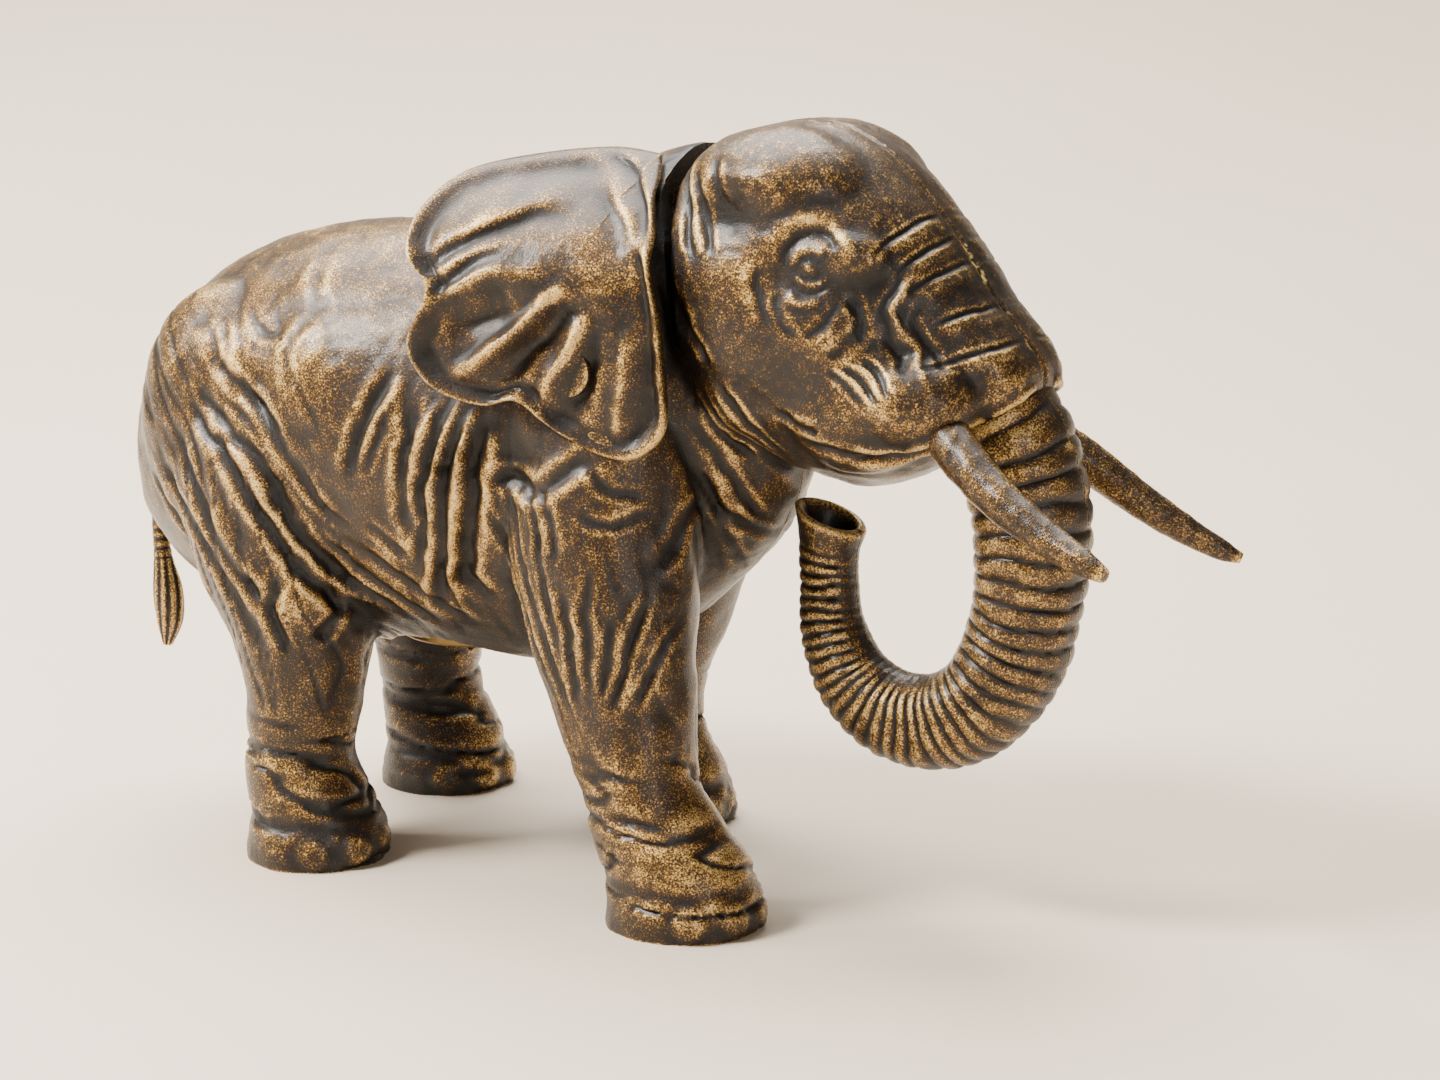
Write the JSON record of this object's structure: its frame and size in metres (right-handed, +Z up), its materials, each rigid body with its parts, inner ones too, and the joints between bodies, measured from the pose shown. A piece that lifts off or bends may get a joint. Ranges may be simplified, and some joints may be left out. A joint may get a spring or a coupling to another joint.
{
  "type": "elephant coin bank",
  "caption": "Hollow cast-metal walking elephant coin bank in two halves, with a coin slot across the nape, separate ears, tusks and tail, and a screwed trap under the belly.",
  "frame": {"origin": "middle of the bounding box at the height of the soles", "axes": "+X towards the trunk, +Y towards the elephant's left side, +Z up"},
  "size_m": [0.2284, 0.0837, 0.1445],
  "materials": {
    "antique_bronze": "antique bronze paint rubbed back to gold on the high places, under clear lacquer",
    "antique_bronze_cast_parts": "the same antique bronze paint, more gold showing",
    "plain_steel": "plain steel",
    "blackened_steel": "blackened steel",
    "brass": "dull turned brass",
    "fibre": "red vulcanised fibre sheet"
  },
  "bodies": {
    "right_half": {"right_casting": "antique_bronze", "right_ear": "antique_bronze", "right_ear_upper_rivet": "plain_steel", "right_ear_lower_rivet": "plain_steel", "right_tusk": "antique_bronze_cast_parts", "tail": "antique_bronze_cast_parts", "trunk_dowel": "plain_steel", "rump_dowel": "plain_steel", "trap_ring": "brass"},
    "left_half": {"left_casting": "antique_bronze", "left_ear": "antique_bronze", "left_ear_upper_rivet": "plain_steel", "left_ear_lower_rivet": "plain_steel", "left_tusk": "antique_bronze_cast_parts"},
    "front_washer": {"front_screw_washer": "blackened_steel"},
    "front_screw": {"front_tie_screw": "blackened_steel"},
    "rear_washer": {"rear_screw_washer": "blackened_steel"},
    "rear_screw": {"rear_tie_screw": "blackened_steel"},
    "trap_washer": {"trap_washer": "fibre"},
    "trap_plug": {"trap_plug": "brass"}
  },
  "joints": [
    {"name": "left_half_slide", "type": "slide", "parent": "right_half", "child": "left_half", "axis": [0, 1, 0], "range_m": [0, 0.06]},
    {"name": "front_screw_travel", "type": "slide", "parent": "left_half", "child": "front_washer", "axis": [0, 1, 0], "range_m": [0, 0.0084]},
    {"name": "front_screw_turn", "type": "hinge", "parent": "front_washer", "child": "front_screw", "pos_m": [-0.0115, 0.03, 0.08], "axis": [0, 1, 0], "range_deg": [0, 2165]},
    {"name": "rear_screw_travel", "type": "slide", "parent": "left_half", "child": "rear_washer", "axis": [0, 1, 0], "range_m": [0, 0.0084]},
    {"name": "rear_screw_turn", "type": "hinge", "parent": "rear_washer", "child": "rear_screw", "pos_m": [-0.0775, 0.03, 0.08], "axis": [0, 1, 0], "range_deg": [0, 2165]},
    {"name": "trap_travel", "type": "slide", "parent": "right_half", "child": "trap_washer", "axis": [0, 0, -1], "range_m": [0, 0.0091]},
    {"name": "trap_turn", "type": "hinge", "parent": "trap_washer", "child": "trap_plug", "pos_m": [-0.0315, 0, 0.046], "axis": [0, 0, -1], "range_deg": [0, 1080]}
  ],
  "couplings": [
    {"joint": "front_screw_turn", "follows": "front_screw_travel", "rad_per_m": 4488},
    {"joint": "rear_screw_turn", "follows": "rear_screw_travel", "rad_per_m": 4488},
    {"joint": "trap_travel", "follows": "trap_turn", "m_per_rad": 0.00047746}
  ]
}
